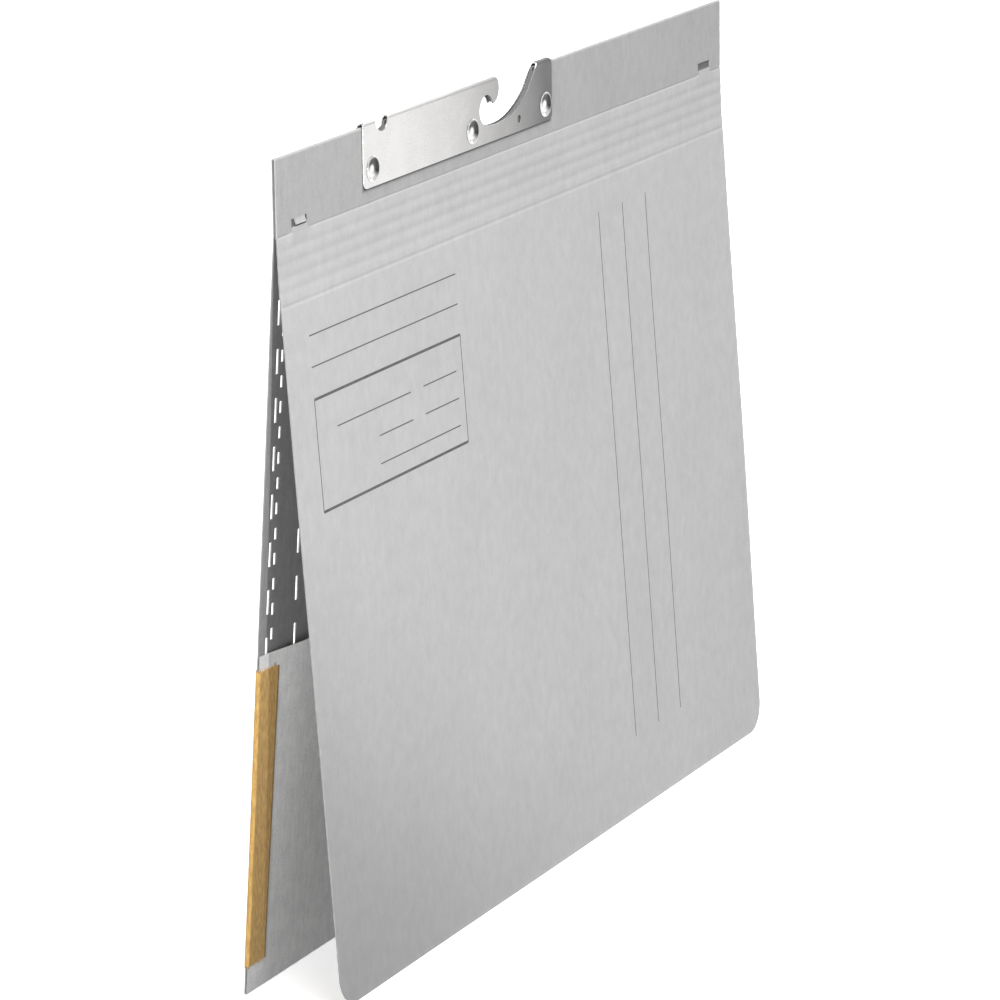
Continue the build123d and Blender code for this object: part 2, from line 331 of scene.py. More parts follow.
# %% Group: card fibre
CLOUDS, FIBRES, MOTTLING, SPECKS = (0.035, 0.02, 1), (0.8, 0.12, 1), (0.24, 0.17, 1), 1.2
CLOUD_SHARE, STREAK_SHARE, SPECK_SHARE = 0.5, 0.7, 0.6
fibre_sockets = {"Flat": ORIGIN, "Mottle": 0.4, "Streak": 1.0}
tree, entry, leave = new_group("card fibre", fibre_sockets, ["Shade", "Height"])
flat = entry["Flat"]
clouds = grain(tree, stretch(tree, flat, CLOUDS), 1.0, detail=4.0)
fibres = grain(tree, stretch(tree, flat, FIBRES), 1.0, detail=6.0, roughness=0.68)
mottling = grain(tree, stretch(tree, flat, MOTTLING), 1.0, roughness=0.6)
specks = grain(tree, flat, SPECKS, roughness=0.6)
cloudy = swing(tree, clouds, CLOUD_SHARE)
mottled = swing(tree, mottling, entry["Mottle"])
streaky = swing(tree, fibres, STREAK_SHARE)
speckled = swing(tree, specks, SPECK_SHARE)
close_up = times(tree, calc(tree, "ADD", streaky, speckled), entry["Streak"])
shade = calc(tree, "ADD", calc(tree, "ADD", cloudy, mottled), close_up)
shade = calc(tree, "ADD", shade, MIDDLE, clamp=True)
height = calc(tree, "ADD", fibres, speckled)
card_fibre = close_group(tree, leave, Shade=shade, Height=height)

# %% [markdown]
# ## Rubbed edges, a shared effect
# Where card is handled, its outer few millimetres go paler and a little smoother. The group
# measures how far a point is from the sides and the foot of its own sheet, breaks that band up
# with noise, and puts out a mask.

# %% Group: rubbed edges
RUB_REACH = 2.0
RAG_SCALE, RAG_SHARE = 0.45, 0.9
RUB_NONE, RUB_FULL = 1.25, 0.35
rub_sockets = {"Flat": ORIGIN, "Half Width": half_width, "Foot": cover_length, "Reach": RUB_REACH}
tree, entry, leave = new_group("rubbed edges", rub_sockets, ["Rub"])
parts = axes(tree, entry["Flat"])
from_middle = calc(tree, "ABSOLUTE", parts["X"])
from_side = calc(tree, "SUBTRACT", entry["Half Width"], from_middle)
from_foot = calc(tree, "SUBTRACT", entry["Foot"], parts["Y"])
from_edge = calc(tree, "MINIMUM", from_side, from_foot)
share = calc(tree, "DIVIDE", from_edge, entry["Reach"])
rags = times(tree, grain(tree, entry["Flat"], RAG_SCALE), RAG_SHARE)
ragged = calc(tree, "ADD", share, rags)
rubbed_edges = close_group(tree, leave, Rub=fade(tree, ragged, RUB_NONE, RUB_FULL))

# %% [markdown]
# ## Printed rules, a shared effect
# The front cover carries a plain form: two writing lines, a box with rules, and three upright
# lines. Ink has no thickness, so it is a mask in the card's colour. One small group masks a single
# rule, and also masks the painted shadow of the steel plate on the strip. A second group lays all
# rules of the form side by side.

# %% Group: one rule
rule_sockets = {"Flat": ORIGIN, "Left": 0.0, "Right": 1.0, "Top": 0.0, "Foot": 1.0, "Softness": 0.05}
tree, entry, leave = new_group("one rule", rule_sockets, ["Ink"])
parts = axes(tree, entry["Flat"])
insides = []
for axis, start, end in (("X", "Left", "Right"), ("Y", "Top", "Foot")):
    from_start = calc(tree, "SUBTRACT", parts[axis], entry[start])
    from_end = calc(tree, "SUBTRACT", entry[end], parts[axis])
    insides.append(calc(tree, "MINIMUM", from_start, from_end))
nearest = calc(tree, "MINIMUM", *insides)
outside = times(tree, entry["Softness"], -1.0)
rule_mask = close_group(tree, leave, Ink=fade(tree, nearest, outside, entry["Softness"]))

# %% Group: the printed form
THIN, BOLD = 0.42, 0.9
FORM_LEFT, FORM_RIGHT = 15.0, 110.4
WRITING_LINES = (32.0, 41.6)
BOX_TOP, BOX_FOOT = 51.5, 86.0
ROW_1, ROW_2, ROW_3 = 62.3, 71.1, 79.8
UPRIGHTS, UPRIGHT_TOP, UPRIGHT_FOOT = (215.2, 233.6, 251.7), 31.9, 212.9
# Each level rule: its left end, right end, level and thickness
level_rules = [(FORM_LEFT, FORM_RIGHT, level, THIN) for level in WRITING_LINES]
level_rules += [(FORM_LEFT, FORM_RIGHT, level, BOLD) for level in (BOX_TOP, BOX_FOOT)]
level_rules += [
    (27.7, 75.2, ROW_1, THIN), (83.7, 106.1, ROW_1, THIN),
    (53.2, 75.3, ROW_2, THIN), (83.7, 106.5, ROW_2, THIN),
    (52.6, 106.2, ROW_3, THIN),
]
upright_rules = [(x, BOX_TOP, BOX_FOOT) for x in (FORM_LEFT, FORM_RIGHT)]
upright_rules += [(x, UPRIGHT_TOP, UPRIGHT_FOOT) for x in UPRIGHTS]
spans = [(left, right, y - thick / 2, y + thick / 2) for left, right, y, thick in level_rules]
spans += [(x - THIN / 2, x + THIN / 2, top, foot) for x, top, foot in upright_rules]
tree, entry, leave = new_group("printed form", {"Flat": ORIGIN}, ["Ink"])
ink = None
for left, right, top, foot in spans:
    place = {"Left": left - half_width, "Right": right - half_width, "Top": top, "Foot": foot}
    line = place_group(tree, rule_mask, {"Flat": entry["Flat"], **place})["Ink"]
    ink = line if ink is None else calc(tree, "MAXIMUM", ink, line)
printed_form = close_group(tree, leave, Ink=ink)

# %% [markdown]
# ## Card materials
# All card shares one recipe: two greys mixed by the fibre's shade, a paler rub along the edges and
# a fine bump. It is all one grey card, but the inner side of the sheets and the upright strip are
# darker as painted shade, and the pocket is paler as painted light. The cut edge of card is darker
# and more open than its outside, so it is a second material. Only the front card adds ink, and only
# the strip has a painted shadow behind the steel plate and just under its lower edge. The margin
# glued under the strip and the tongues tucked into the slots are the darkest, as painted shade where
# little light gets in.

# %% Material helpers
FLAT_MAP = "flat_mm"


def mix_colour(tree, share, first, second):
    return add_node(tree, "Mix", {0: share, 6: first, 7: second}, data_type="RGBA").outputs[2]


def new_material(name, **sockets):
    material = bpy.data.materials.new(name)
    material.use_nodes = True
    shader = material.node_tree.nodes["Principled BSDF"]
    set_inputs(material.node_tree, shader, **sockets)
    return material, material.node_tree, shader


def flat_place(tree):
    return add_node(tree, "UVMap", uv_map=FLAT_MAP).outputs["UV"]


def dress(tree, shader, colour, rough, height, strength, relief):
    bump = add_node(tree, "Bump", {"Height": height, "Strength": strength, "Distance": relief * MM})
    set_inputs(tree, shader, base_color=colour, roughness=rough, normal=bump.outputs["Normal"])


def grey(tone, warmth=0.0):
    return (tone * (1 + warmth), tone, tone * (1 - warmth), 1)


# %% Card recipe
DARK_FIBRE, PALE_FIBRE, FIBRE_CAST = 0.88, 1.12, 0.004
RUB_SHARE, RUB_TONE, RUB_POLISH = 0.2, 1.3, 0.12
INK_TONE, INK_COVER, INK_WEAR = (0.035, 0.036, 0.04, 1), 0.72, 0.25
# painted shadow of the steel plate on the strip
PLATE_SHADOW_FADE, PLATE_SHADOW_SHARE, PLATE_SHADOW_TONE = 0.8, 0.95, 0.4
CARD_ROUGH, CARD_ROUGH_RANGE = 0.7, 0.2
CARD_BUMP, CARD_RELIEF = 0.35, 0.06


def card_material(name, tone, foot=cover_length, mottle=0.4, streak=1.0, printed=False, pressed=None):
    material, tree, shader = new_material(name, specular_ior_level=0.25)
    flat = flat_place(tree)
    fibre = place_group(tree, card_fibre, {"Flat": flat, "Mottle": mottle, "Streak": streak})
    sheet = {"Flat": flat, "Half Width": half_width, "Foot": foot}
    rub = place_group(tree, rubbed_edges, sheet)["Rub"]
    dark, pale = grey(tone * DARK_FIBRE, -FIBRE_CAST), grey(tone * PALE_FIBRE, FIBRE_CAST)
    face = mix_colour(tree, fibre["Shade"], dark, pale)
    face = mix_colour(tree, times(tree, rub, RUB_SHARE), face, grey(tone * RUB_TONE))
    if printed:
        ink = place_group(tree, printed_form, {"Flat": flat})["Ink"]
        colour_mask = times(tree, ink, scaled(tree, fibre["Shade"], INK_WEAR, INK_COVER))
        face = mix_colour(tree, colour_mask, face, INK_TONE)
    # painted shadow of the steel plate on the strip, for the span given in pressed
    if pressed:
        shape = {"Flat": flat, "Softness": PLATE_SHADOW_FADE, **pressed}
        plate_shadow = times(tree, place_group(tree, rule_mask, shape)["Ink"], PLATE_SHADOW_SHARE)
        face = mix_colour(tree, plate_shadow, face, grey(tone * PLATE_SHADOW_TONE))
    rough = scaled(tree, fibre["Height"], CARD_ROUGH_RANGE, CARD_ROUGH)
    rough = calc(tree, "SUBTRACT", rough, times(tree, rub, RUB_POLISH))
    dress(tree, shader, face, rough, fibre["Height"], CARD_BUMP, CARD_RELIEF)
    return material


# %% Cut edge recipe
EDGE_DARK, EDGE_PALE, EDGE_MOTTLE = 0.24, 0.36, 0.8
EDGE_ROUGH, EDGE_ROUGH_RANGE = 0.78, 0.15
EDGE_BUMP, EDGE_RELIEF = 0.6, 0.08


def cut_edge_material():
    material, tree, shader = new_material("card cut edge", specular_ior_level=0.2)
    fibre = place_group(tree, card_fibre, {"Flat": flat_place(tree), "Mottle": EDGE_MOTTLE})
    core = mix_colour(tree, fibre["Shade"], grey(EDGE_DARK), grey(EDGE_PALE))
    rough = scaled(tree, fibre["Height"], EDGE_ROUGH_RANGE, EDGE_ROUGH)
    dress(tree, shader, core, rough, fibre["Height"], EDGE_BUMP, EDGE_RELIEF)
    return material


# %% Card materials
# Tones of the one card: the strip and the inner side are darker as painted shade, the pocket paler as
# painted light
FRONT_TONE, STRIP_SHADE_TONE, BACK_TONE = 0.445, 0.375, 0.43
INNER_SHADE_TONE, POCKET_LIGHT_TONE = 0.27, 0.66
# the darkest card tone is painted shade in the slots and under the strip
BOARD_TONE, PAINTED_SHADE_TONE = 0.36, 0.14
# painted shadow on the strip: behind the steel plate and a little below its lower edge
PLATE_SHADOW_TOP, PLATE_SHADOW_BELOW = -100.0, 0.7
plate_low, plate_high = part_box("hook_plate")
plate_foot = (back_seam.z - plate_low.z) / MM
under_plate = {
    "Left": plate_low.x / MM, "Right": plate_high.x / MM,
    "Top": PLATE_SHADOW_TOP, "Foot": plate_foot + PLATE_SHADOW_BELOW,
}
front_card = card_material("front card", FRONT_TONE, mottle=1.0, printed=True)
back_card = card_material("back card", BACK_TONE, mottle=1.0)
pocket_lit_card = card_material("pocket card in painted light", POCKET_LIGHT_TONE, mottle=1.5, streak=2.8)
inner_shaded_card = card_material("inner side of the card in painted shade", INNER_SHADE_TONE, mottle=1.5, streak=2.8)
strip_shaded_card = card_material("strip card in painted shade", STRIP_SHADE_TONE, mottle=1.0, streak=1.6, pressed=under_plate)
painted_shade_card = card_material("card in deep painted shade", PAINTED_SHADE_TONE)
board = card_material("grey board", BOARD_TONE, 2 * cover_length, mottle=0.9, streak=2.0)
cut_edge = cut_edge_material()
print("card tones from", PAINTED_SHADE_TONE, "to", POCKET_LIGHT_TONE)

# %% [markdown]
# ## Steel grain, a shared effect
# The plate, the rivets and the fastener are pressed from rolled strip. Rolling leaves fine lines
# along the strip, and handling polishes it in patches. The group works in the piece's own space, in
# millimetres, and puts out the lines, the patches and a height.

# %% Group: steel grain
LINE_RUN, LINE_RELIEF = 0.03, 0.3
PATCH_SCALE, PATCH_NONE, PATCH_FULL = 0.09, 0.35, 0.7
steel_sockets = {"Place": ORIGIN, "Line Width": 0.12}
tree, entry, leave = new_group("steel grain", steel_sockets, ["Lines", "Patches", "Height"])
fine = calc(tree, "DIVIDE", 1.0, entry["Line Width"])
width = add_node(tree, "CombineXYZ", {0: LINE_RUN, 1: fine, 2: fine}).outputs[0]
lines = grain(tree, stretch(tree, entry["Place"], width), 1.0, roughness=0.6)
patches = grain(tree, entry["Place"], PATCH_SCALE, detail=4.0, roughness=0.55)
polished = fade(tree, patches, PATCH_NONE, PATCH_FULL)
height = scaled(tree, lines, LINE_RELIEF, patches)
steel_grain = close_group(tree, leave, Lines=lines, Patches=polished, Height=height)

# %% [markdown]
# ## Four steels
# The plate is plated. A mask along X darkens it to the right as a painted darker reflection, and
# roughens it where the rod slides up the ramp. Its sheared faces are dull, with a painted highlight
# at the very top. The rivets are polished, with tarnish in the wall of the dish and painted shade on
# its upper side: a mask of the distance from the rivet's own middle and of the height above it. The
# fastener inside is plain zinc.

# %% Steel recipe
PATCH_TONE, PATCH_POLISH = 0.96, -0.5
MASK_CAST, MASK_ROUGH = 0.006, 0.1
STEEL_BUMP = 0.2


def steel_material(
    name, tone, warmth, rough, rough_range, line_width, relief, colour_mask=None, mask_tone=None
):
    material, tree, shader = new_material(name, metallic=1.0)
    place = stretch(tree, add_node(tree, "TexCoord").outputs["Object"], (1 / MM,) * 3)
    steel = place_group(tree, steel_grain, {"Place": place, "Line Width": line_width})
    colour = mix_colour(tree, steel["Patches"], grey(tone * PATCH_TONE, warmth), grey(tone, warmth))
    polish = times(tree, steel["Patches"], PATCH_POLISH)
    spread = calc(tree, "ADD", steel["Lines"], polish)
    roughness = calc(tree, "ADD", times(tree, spread, rough_range), rough, clamp=True)
    if colour_mask:
        mask = colour_mask(tree, place)
        colour = mix_colour(tree, mask, colour, grey(mask_tone, MASK_CAST))
        roughness = calc(tree, "ADD", roughness, times(tree, mask, MASK_ROUGH))
    dress(tree, shader, colour, roughness, steel["Height"], STEEL_BUMP, relief)
    return material


# %% Painted light and tarnish on the steels
REFLECTION_FADE_START, REFLECTION_FADE_END, REFLECTION_FADE_POWER = -90.0, 20.0, 1.5
HIGHLIGHT_FROM, HIGHLIGHT_FULL = 2.4, 1.2
DISH_CLEAN, DISH_FLOOR, DISH_TOP, RIM_TOP = 0.75, 1.8, 3.35, 3.9
PAINTED_SHADE_SIDE = (0.5, -0.87, 0.0)


# painted darker reflection on the plate, stronger to the right
def painted_reflection_to_right(tree, place):
    along = axes(tree, place)["X"]
    span = {"Value": along, "From Min": REFLECTION_FADE_START, "From Max": REFLECTION_FADE_END}
    return calc(tree, "POWER", add_node(tree, "MapRange", span).outputs["Result"], REFLECTION_FADE_POWER)


# painted highlight on the sheared faces near the top of the plate
def painted_top_highlight(tree, place):
    height = axes(tree, place)["Z"]
    return fade(tree, height, plate_high.z / MM - HIGHLIGHT_FROM, plate_high.z / MM - HIGHLIGHT_FULL)


# tarnish in the rivet's dish wall, with painted shade on its upper side
def dish_tarnish_and_shade(tree, place):
    flat = flat_place(tree)
    radius = add_node(tree, "VectorMath", {0: flat}, operation="LENGTH").outputs["Value"]
    outside_floor = fade(tree, radius, DISH_CLEAN, DISH_FLOOR)
    inside_rim = fade(tree, radius, RIM_TOP, DISH_TOP)
    ring = times(tree, outside_floor, inside_rim)
    toward = add_node(tree, "VectorMath", {0: flat, 1: PAINTED_SHADE_SIDE}, operation="DOT_PRODUCT")
    upper = fade(tree, toward.outputs["Value"], -DISH_FLOOR, DISH_CLEAN)
    return times(tree, ring, upper)


# %% Steel materials
plate_steel = steel_material(
    "plated steel", tone=0.56, warmth=0.012, rough=0.2, rough_range=0.16, line_width=0.15, relief=0.02,
    colour_mask=painted_reflection_to_right, mask_tone=0.1,
)
rivet_steel = steel_material(
    "polished steel", tone=0.65, warmth=0.008, rough=0.1, rough_range=0.08, line_width=0.4, relief=0.004,
    colour_mask=dish_tarnish_and_shade, mask_tone=0.05,
)
sheared_steel = steel_material(
    "sheared steel", tone=0.2, warmth=0.0, rough=0.4, rough_range=0.2, line_width=0.1, relief=0.01,
    colour_mask=painted_top_highlight, mask_tone=0.74,
)
zinc_steel = steel_material(
    "zinc steel", tone=0.5, warmth=-0.01, rough=0.26, rough_range=0.2, line_width=0.12, relief=0.02,
)
print("steels:", plate_steel.name, rivet_steel.name, sheared_steel.name, zinc_steel.name)

# %% [markdown]
# ## Plain weave
# The gusset tapes are ochre linen: two sets of threads that go over and under each other. Each
# thread is a half wave across its width. Which set is on top changes from cell to cell, so a chess
# pattern chooses between the two half waves. Slubs, the thick and thin places of a spun thread, are
# noise drawn out along v.

# %% Group: plain weave
SLUBS, SLUB_NONE, SLUB_FULL = (1.1, 0.3, 1), 0.3, 0.7
weave_sockets = {"Flat": ORIGIN, "Thread": 0.45}
tree, entry, leave = new_group("plain weave", weave_sockets, ["Height", "Over", "Slub"])
per_mm = calc(tree, "DIVIDE", 1.0, entry["Thread"])
counted = {0: entry["Flat"], "Scale": per_mm}
threads = add_node(tree, "VectorMath", counted, operation="SCALE").outputs["Vector"]
parts = axes(tree, threads)
column, row = (calc(tree, "FLOOR", parts[axis]) for axis in "XY")
cells = calc(tree, "ABSOLUTE", calc(tree, "ADD", column, row))
over = calc(tree, "MODULO", cells, 2.0)
turns = [times(tree, parts[axis], pi) for axis in "XY"]
warp, weft = (calc(tree, "ABSOLUTE", calc(tree, "SINE", turn)) for turn in turns)
warp_part = times(tree, warp, over)
weft_part = times(tree, weft, calc(tree, "SUBTRACT", 1.0, over))
height = calc(tree, "ADD", warp_part, weft_part)
spun = stretch(tree, entry["Flat"], SLUBS)
slubs = grain(tree, spun, 1.0, detail=4.0, roughness=0.6)
thick = fade(tree, slubs, SLUB_NONE, SLUB_FULL)
plain_weave = close_group(tree, leave, Height=height, Over=over, Slub=thick)

# %% Linen material
TAPE_WIDTH = 21.4
DARK_THREAD, PALE_THREAD = (0.43, 0.252, 0.075, 1), (0.63, 0.4, 0.13, 1)
GAP_SHADE_TONE, GAP_SHADE_SHARE = (0.2, 0.1, 0.03, 1), 0.5
GAP_EDGE, GAP_FLOOR = 0.45, 0.05
TAPE_SHADOW_TONE, TAPE_SHADOW_SHARE = (0.13, 0.075, 0.025, 1), 0.75
TAPE_SHADOW_FROM, TAPE_SHADOW_FULL = 0.7, 0.2
LINEN_ROUGH, LINEN_ROUGH_RANGE = 0.8, 0.06
LINEN_BUMP, LINEN_RELIEF = 0.7, 0.12


def linen_material():
    material, tree, shader = new_material("ochre linen", sheen_weight=0.1, specular_ior_level=0.2)
    flat = flat_place(tree)
    weave = place_group(tree, plain_weave, {"Flat": flat})
    thread = mix_colour(tree, weave["Slub"], DARK_THREAD, PALE_THREAD)
    # painted shade in the hollows between the threads
    gap = times(tree, fade(tree, weave["Height"], GAP_EDGE, GAP_FLOOR), GAP_SHADE_SHARE)
    shaded = mix_colour(tree, gap, thread, GAP_SHADE_TONE)
    along = axes(tree, flat)["X"]
    # painted shadow along the tape's edge where it lies on the pocket
    border = fade(tree, along, TAPE_WIDTH - TAPE_SHADOW_FROM, TAPE_WIDTH - TAPE_SHADOW_FULL)
    tape_edge_shadow = times(tree, border, TAPE_SHADOW_SHARE)
    shaded = mix_colour(tree, tape_edge_shadow, shaded, TAPE_SHADOW_TONE)
    rough = scaled(tree, weave["Over"], LINEN_ROUGH_RANGE, LINEN_ROUGH)
    dress(tree, shader, shaded, rough, weave["Height"], LINEN_BUMP, LINEN_RELIEF)
    return material


linen = linen_material()
print("linen on", plain_weave.name)

# %% [markdown]
# ## From flat sheet to folded sheet
# A sheet is drawn as a net of quads over u and v. Cells inside a punched hole are left out, and
# each knot is put in place by the sheet's own folding function. The net then gets the card's
# thickness from a Solidify modifier, whose rim takes the cut edge material. The flat position of
# every corner is kept as a UV map in millimetres, so fibre and print follow the sheet through
# every fold.

# %% Flat nets
CROWDED = 0.3


def ruler(low, high, step, marks=()):
    count = max(1, round((high - low) / step))
    even = [low + (high - low) * k / count for k in range(count + 1)]
    exact = sorted({low, high, *[m for m in marks if low < m < high]})
    loose = [m for m in even if min(abs(m - e) for e in exact) > CROWDED * step]
    return sorted(exact + loose)


def net_of(columns, rows, fold, holes=(), outline=None, net=None):
    net = net or bmesh.new()
    layer = net.loops.layers.uv.get(FLAT_MAP) or net.loops.layers.uv.new(FLAT_MAP)
    outline = outline or (lambda u, v: (u, v))
    flat = [[outline(u, v) for u in columns] for v in rows]
    knots = [[net.verts.new(fold(u, v)) for u, v in line] for line in flat]
    for r in range(len(rows) - 1):
        for c in range(len(columns) - 1):
            u, v = (columns[c] + columns[c + 1]) / 2, (rows[r] + rows[r + 1]) / 2
            if any(left < u < right and top < v < foot for left, right, top, foot in holes):
                continue
            corners = ((r, c), (r + 1, c), (r + 1, c + 1), (r, c + 1))
            cell = net.faces.new([knots[i][j] for i, j in corners])
            cell.smooth = True
            for loop, (i, j) in zip(cell.loops, corners):
                loop[layer].uv = flat[i][j]
    bmesh.ops.delete(net, geom=[knot for knot in net.verts if not knot.link_faces], context="VERTS")
    return net


# %% From net to piece
SHEET_WELD = 0.01
SHARP = radians(35)
SWAY_WIDTH, SWAY_LENGTH = 120, 90


def settle(piece):
    graph = bpy.context.evaluated_depsgraph_get()
    shaped = bpy.data.meshes.new_from_object(piece.evaluated_get(graph))
    piece.modifiers.clear()
    piece.data = shaped
    return shaped


def finish_piece(name, net, materials):
    mesh = bpy.data.meshes.new(name)
    net.to_mesh(mesh)
    net.free()
    for material in materials:
        mesh.materials.append(material)
    piece = bpy.data.objects.new(name, mesh)
    scene.collection.objects.link(piece)
    return piece


def sheet_piece(name, net, face, other, rim=None, thickness=CARD, extra=()):
    bmesh.ops.remove_doubles(net, verts=net.verts, dist=SHEET_WELD * MM)
    piece = finish_piece(name, net, [face, rim or cut_edge, other, *extra])
    skin = piece.modifiers.new("thickness", "SOLIDIFY")
    skin.thickness = thickness * MM
    skin.offset = 0
    skin.use_even_offset = True
    skin.material_offset_rim = 1
    skin.material_offset = 2
    settle(piece).set_sharp_from_angle(angle=SHARP)
    print(name, len(piece.data.polygons), "faces")
    return piece


def sway(u, v, seed, reach):
    return reach * noise.noise(Vector((u / SWAY_WIDTH, v / SWAY_LENGTH, seed)))


print("sheet helpers ready")

# %% [markdown]
# ## Softened copies of stiff pieces
# Steel and board keep the shape that the frame gives them, but no real edge is knife sharp. A
# softened copy welds the frame's triangles into whole faces and breaks each sharp edge with a
# narrow bevel, which catches the light as a bright line. Weighted normals keep the wide faces flat
# beside such a bevel. The frame's own node is then hidden. The folded strip is made this way too.

# %% Softened copies
FRAME_WELD = 0.002
ALMOST_FLAT = radians(0.5)
BEVEL_FROM, BEVEL_STEPS = radians(40), 2


def softened_copy(node, name, body, materials, ease, flat_from=None, cut=None):
    net = bmesh.new()
    net.from_mesh(frame["nodes"][node].data)
    bmesh.ops.remove_doubles(net, verts=net.verts, dist=FRAME_WELD * MM)
    bmesh.ops.dissolve_limit(net, angle_limit=ALMOST_FLAT, verts=net.verts, edges=net.edges)
    for cell in net.faces:
        cell.smooth = True
    piece = finish_piece(name, net, materials)
    if ease:
        edge = piece.modifiers.new("broken edges", "BEVEL")
        edge.width = ease * MM
        edge.segments = BEVEL_STEPS
        edge.limit_method = "ANGLE"
        edge.angle_limit = BEVEL_FROM
        edge.use_clamp_overlap = False
        even = piece.modifiers.new("flat faces", "WEIGHTED_NORMAL")
        even.keep_sharp = True
        settle(piece)
    else:
        piece.data.set_sharp_from_angle(angle=SHARP)
    for cell in piece.data.polygons:
        cell.material_index = 1 if cut and cut(cell) else 0
    if flat_from:
        layer = piece.data.uv_layers.new(name=FLAT_MAP)
        for loop in piece.data.loops:
            place = (piece.data.vertices[loop.vertex_index].co - flat_from) / MM
            layer.data[loop.index].uv = (place.x, -place.z)
    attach(piece, body)
    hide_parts(node)
    print(name, len(piece.data.polygons), "faces")


softened_copy(
    "hanger_strip", "folded_strip", "strip", [strip_shaded_card], ease=0.06, flat_from=back_seam
)
# the glued margin takes the card in painted shade
softened_copy("front_margin", "glued_margin", "strip", [painted_shade_card], ease=0, flat_from=front_seam)

# %% [markdown]
# ## The scored top of the front sheet
# Five scores let the front cover stand off a thick file. A score is a narrow groove pressed into
# the outside, so each one shows a dark upper side and a bright lower side. The grooves are real
# geometry: a raised cosine of v, with close rows where they need them. Two tongues of the same
# sheet rise over the flap and tuck into its slots, so the sheet swells forward there.

# %% Grooves and swell
SCORES = 5
GROOVE_HALF, GROOVE_DEPTH = 1.8, 0.08
LAST_HALF, LAST_DEPTH = 1.0, 0.1
SEAM_SWELL, SEAM_RUN, SEAM_TUCK = 0.42, 16.0, 0.26
TONGUE_SWELL, SWELL_RUN, SWELL_SIDE = 0.6, 4.0, 2.0
pitch = spine_length / SCORES
tongue_boxes = [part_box(node) for node in ("tongue_left", "tongue_right")]
tongues = [(low.x / MM, high.x / MM) for low, high in tongue_boxes]


def smooth_step(t):
    t = min(1, max(0, t))
    return t * t * (3 - 2 * t)


def groove(v):
    score = min(SCORES, max(1, round(v / pitch)))
    half, depth = (LAST_HALF, LAST_DEPTH) if score == SCORES else (GROOVE_HALF, GROOVE_DEPTH)
    near = abs(v - pitch * score) / half
    return -depth * (1 + cos(pi * near)) / 2 if near < 1 else 0


def swell(u, v):
    beside = min(max(low - u, u - high, 0) for low, high in tongues)
    tongue = smooth_step(1 - beside / SWELL_SIDE) * smooth_step(1 - v / SWELL_RUN)
    tuck = SEAM_TUCK * smooth_step(-v / strip_gap) * (1 - tongue)
    return SEAM_SWELL * smooth_step(1 - v / SEAM_RUN) - tuck + (TONGUE_SWELL - SEAM_SWELL) * tongue


print(f"{SCORES} scores, {pitch:.2f} mm apart")

# %% Scored spine
FRONT_SEED, FRONT_SWAY = 1.0, 0.3
SWAY_FROM, SWAY_RUN = 4, 60
SHEET_STEP, SPINE_STEP, TONGUE_STEP = 4.5, 0.45, 0.65
ROWS_A_SIDE = 4
TONGUE_COLUMNS = range(-3, 18)
SPLIT_ABOVE = 2.0
split = spine_length - SPLIT_ABOVE


def fold_front(u, v):
    lift = groove(v) + swell(u, v)
    if v < 0:
        return front_seam + ALONG * u * MM + Vector((0, -lift, -v)) * MM
    lift += sway(u, v, FRONT_SEED, FRONT_SWAY) * smooth_step((v - SWAY_FROM) / SWAY_RUN)
    return front_seam + (ALONG * u + front_down * v + front_face * lift) * MM


in_score = [LAST_HALF * s / ROWS_A_SIDE for s in range(-ROWS_A_SIDE, ROWS_A_SIDE + 1)]
score_rows = [pitch * k + step for k in range(1, SCORES + 1) for step in in_score]
tongue_columns = [low + s * TONGUE_STEP for low, high in tongues for s in TONGUE_COLUMNS]
columns = ruler(-half_width, half_width, SHEET_STEP, tongue_columns)
spine_rows = ruler(-strip_gap, split, SPINE_STEP, score_rows)
spine_net = net_of(columns, spine_rows, fold_front)
print("spine net", len(spine_rows), "x", len(columns), "knots")

# %% [markdown]
# ## The two tongues
# Each tongue runs up the front of the flap, turns in through its slot and is tucked up behind it.
# Its route is a few points in the section, joined by a smooth curve, and its first row is the last
# row of the spine, so the two are welded into one sheet. The right slot stays open, and the part of
# the tongue tucked behind the flap is painted dark as shade. In the left one the flap's own card
# still hangs as a small tab, pushed out by the tongue behind it.

# %% Tongues
TURNED_IN = [
    (0, 0), (0, 0.6), (0, 1.12), (-0.04, 1.28), (-0.16, 1.38), (-0.4, 1.44), (-0.58, 1.7), (-0.6, 2.4),
    (-0.6, 5.2),
]
CURVE_STEPS = 4
TONGUE_TAPER, TAPER_POWER = 0.12, 2
TOUCH = 0.01
CREASE_FROM = 1.28
SHADED_SLOT = 3


def curve_through(points, steps):
    ends = [points[0], *points, points[-1]]
    for k in range(1, len(ends) - 2):
        before, here, there, after = (Vector((*p, 0)) for p in ends[k - 1 : k + 3])
        pull = there - before
        bend = 2 * before - 5 * here + 4 * there - after
        twist = 3 * (here - there) + after - before
        for s in range(steps):
            t = s / steps
            yield here + 0.5 * t * (pull + t * (bend + t * twist))
    yield Vector((*points[-1], 0))


path = list(curve_through(TURNED_IN, CURVE_STEPS))
for low, high in tongues:
    middle = (low + high) / 2

    def fold_tongue(u, v, middle=middle):
        if v == 0:
            return fold_front(u, -strip_gap)
        step = path[round(v)]
        share = step.y / TURNED_IN[-1][1]
        narrowed = middle + (u - middle) * (1 - TONGUE_TAPER * share**TAPER_POWER)
        depth = front_seam.y - (TONGUE_SWELL + step.x) * MM
        return Vector((narrowed * MM, depth, strip_low.z + step.y * MM))

    inside = [u for u in columns if low - TOUCH <= u <= high + TOUCH]
    net_of(inside, list(range(len(path) - 1, -1, -1)), fold_tongue, net=spine_net)

